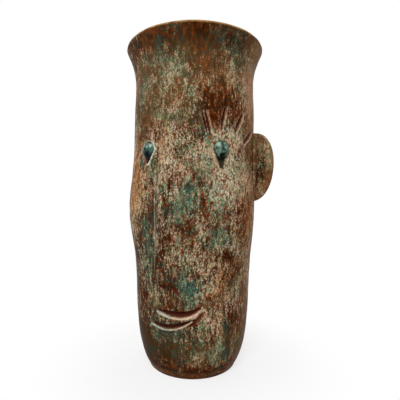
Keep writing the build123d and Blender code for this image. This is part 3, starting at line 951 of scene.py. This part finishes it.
def footGlaze():
    material, bench, spot = newGlaze("footGlaze")
    s = footCoat
    colour = blend(patches(spot, *s["cloud"]), s["dark"], s["light"])
    colour = blend(patches(spot, *s["flecks"]) * s["fleckShare"], colour, s["fleck"])
    bare = 1.0 - step(spot.axis(2), *s["wiped"])  # no glaze where the vase stood in the kiln
    clay = blend(patches(spot, *s["grog"]), s["clay"], s["paleClay"])
    colour = blend(bare, colour, clay)
    bump = bench.add("ShaderNodeBump", None, {
        "Strength": s["bump"], "Distance": s["bumpDepth"], "Height": cloudy(spot, *s["tooth"])})
    shader = bench.add("ShaderNodeBsdfPrincipled", None, {
        "Base Color": colour, "Roughness": s["rough"] + bare * s["bareRough"], "Normal": bump,
        "Specular IOR Level": s["specular"]})
    bench.add("ShaderNodeOutputMaterial", None, {0: shader})
    return material


eyeCoat = {
    "deep": tone(36, 64, 52), "pool": tone(112, 146, 124), "pools": ((3.4, 2.0), (0.38, 0.62)),
    "froth": tone(180, 208, 190), "frothing": ((1.6, 2.0, 1.0, 20.0), (0.58, 0.7)), "frothShare": 0.5,
    "leftEye": tone(14, 78, 72), "leftEdge": (-5.0, 5.0), "leftShare": 0.6,
    "thinGlazeHighlight": tone(198, 218, 200), "breaks": ((1.2, 2.0, 1.0, 31.0), (0.3, 0.55)),
    "pupil": tone(5, 9, 6), "pupilGain": 1.25, "rough": 0.12, "pupilRough": 0.1, "specular": 0.05,
    "coat": 0.3, "pupilCoat": 0.26, "coatRough": 0.06,
    "swell": (2.2, 2.0, 1.0, 8.0), "bump": 0.3, "bumpDepth": 0.0004,
}


def eyeGlaze():
    material, bench, spot = newGlaze("pooledTurquoise")
    s = eyeCoat
    dented = painted(bench, "pupil")
    pupil = clamped(dented * s["pupilGain"])
    colour = blend(patches(spot, *s["pools"]), s["deep"], s["pool"])
    colour = blend(patches(spot, *s["frothing"]) * s["frothShare"], colour, s["froth"])
    left = 1.0 - step(spot.axis(0), *s["leftEdge"])  # the darker pellet
    colour = blend(left * s["leftShare"], colour, s["leftEye"])
    # Pale on the lobes: thin glaze, and painted highlights
    broken = painted(bench, "thinGlazeHighlight") * patches(spot, *s["breaks"])
    colour = blend(clamped(broken), colour, s["thinGlazeHighlight"])
    # The dents painted near black: painted shade
    colour = blend(pupil, colour, s["pupil"])
    bump = bench.add("ShaderNodeBump", None, {
        "Strength": s["bump"], "Distance": s["bumpDepth"], "Height": cloudy(spot, *s["swell"])})
    shader = bench.add("ShaderNodeBsdfPrincipled", None, {
        "Base Color": colour, "Roughness": s["rough"] + dented * s["pupilRough"], "Normal": bump,
        "Specular IOR Level": s["specular"], "Coat Weight": s["coat"] - pupil * s["pupilCoat"],
        "Coat Roughness": s["coatRough"]})
    bench.add("ShaderNodeOutputMaterial", None, {0: shader})
    return material


mottled, foot, turquoise = bodyGlaze(), footGlaze(), eyeGlaze()
print("glazes mixed")

made = [(throwWall(mottled), "vase_wall", "body_glaze"), (buildBase(foot), "base_slab", "foot_glaze"),
        (buildNose(mottled), "nose", "body_glaze"), (buildLip(mottled), "lower_lip", "body_glaze")]
for node, place in eye["angles"].items():
    made.append((buildEye(node, place, turquoise), node, "eye_glaze"))
for node, (place, side) in ear["angles"].items():
    made.append((buildEar(node.replace("_ear", "Ear"), place, side, mottled), node, "body_glaze"))
for piece, node, glaze in made:
    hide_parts(node)
    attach(piece, "root")
    print("built", piece.name, len(piece.data.polygons), "faces")


# Studio: pale floor that stays white to the eye and keeps the shadow, white room, three soft lamps
studio = {
    "floorHalf": 4.0, "floorGlow": 0.75, "shadowReach": (0.06, 0.16), "paper": (0.86, 0.86, 0.86, 1.0),
    "white": (1.0, 1.0, 1.0, 1.0), "roomLight": 0.42, "aim": (0.0, 0.0, 0.15),
    # Lamps: place, size, power
    "lamps": [((0.08, -0.86, 1.12), 0.4, 8.5), ((-0.95, -0.55, 0.75), 0.8, 3.0), ((0.2, 0.8, 1.1), 0.8, 3.0)],
}


def seenRay(bench):
    straight, glossy, through = [bench.add("ShaderNodeLightPath", out=f"Is {name} Ray")
                                 for name in ("Camera", "Glossy", "Transmission")]
    return maxOf(maxOf(straight, glossy), through)


def layFloor():
    half = studio["floorHalf"]
    corners = [(-half, -half, 0), (half, -half, 0), (half, half, 0), (-half, half, 0)]
    mesh = bpy.data.meshes.new("paleFloor")
    mesh.from_pydata(corners, [], [(0, 1, 2, 3)])
    floor = placed("paleFloor", mesh)
    material = bpy.data.materials.new("palePaper")
    bench = clearedBench(material)
    paper = bench.add("ShaderNodeBsdfDiffuse", None, {"Color": studio["paper"]})
    glow = bench.add("ShaderNodeEmission", None, {"Color": studio["white"], "Strength": 1.0})
    spot = bench.add("ShaderNodeTexCoord", out="Object")
    far = bench.add("ShaderNodeVectorMath", {"operation": "LENGTH"}, {0: spot}, "Value")
    share = studio["floorGlow"] + (1.0 - studio["floorGlow"]) * step(far, *studio["shadowReach"])
    mixed = bench.add("ShaderNodeMixShader", None, {0: seenRay(bench) * share, 1: paper, 2: glow})
    bench.add("ShaderNodeOutputMaterial", None, {0: mixed})
    mesh.materials.append(material)


def whitenRoom():
    scene.world = bpy.data.worlds.new("whiteRoom")
    bench = clearedBench(scene.world)
    light = seenRay(bench) * (1.0 - studio["roomLight"]) + studio["roomLight"]
    room = bench.add("ShaderNodeBackground", None, {"Color": studio["white"], "Strength": light})
    bench.add("ShaderNodeOutputWorld", None, {0: room})


def hangLamps():
    for index, (place, size, power) in enumerate(studio["lamps"]):
        lamp = bpy.data.lights.new(f"softLamp{index}", "AREA")
        lamp.shape = "SQUARE"
        lamp.size = size
        lamp.energy = power
        stand = placed(f"softLamp{index}", lamp)
        aim = Vector(studio["aim"]) - Vector(place)
        stand.location = place
        stand.rotation_euler = aim.to_track_quat("-Z", "Y").to_euler()


layFloor()
whitenRoom()
hangLamps()
print("studio lit")

# Camera: level with the cheeks, close, a little to the right of the face
shot = {
    "distance": 0.330, "height": 0.1558, "azimuth": 16.0, "roll": 0.5, "lens": 30.0, "shiftX": 0.016,
    "sensor": 36.0, "nearest": 0.01,
}
camera = placed("photoCamera", bpy.data.cameras.new("photoCamera"))
camera.data.sensor_width = shot["sensor"]
camera.data.lens = shot["lens"]
camera.data.shift_x = shot["shiftX"]
camera.data.clip_start = shot["nearest"]
turn = math.radians(shot["azimuth"])
away = (shot["distance"] * math.sin(turn), -shot["distance"] * math.cos(turn), shot["height"])
facing = Matrix.Rotation(turn, 4, "Z")
upright = Matrix.Rotation(math.pi / 2.0, 4, "X")
rolled = Matrix.Rotation(math.radians(shot["roll"]), 4, "Z")
camera.matrix_world = Matrix.Translation(away) @ facing @ upright @ rolled
scene.camera = camera
scene.view_settings.view_transform = "Standard"
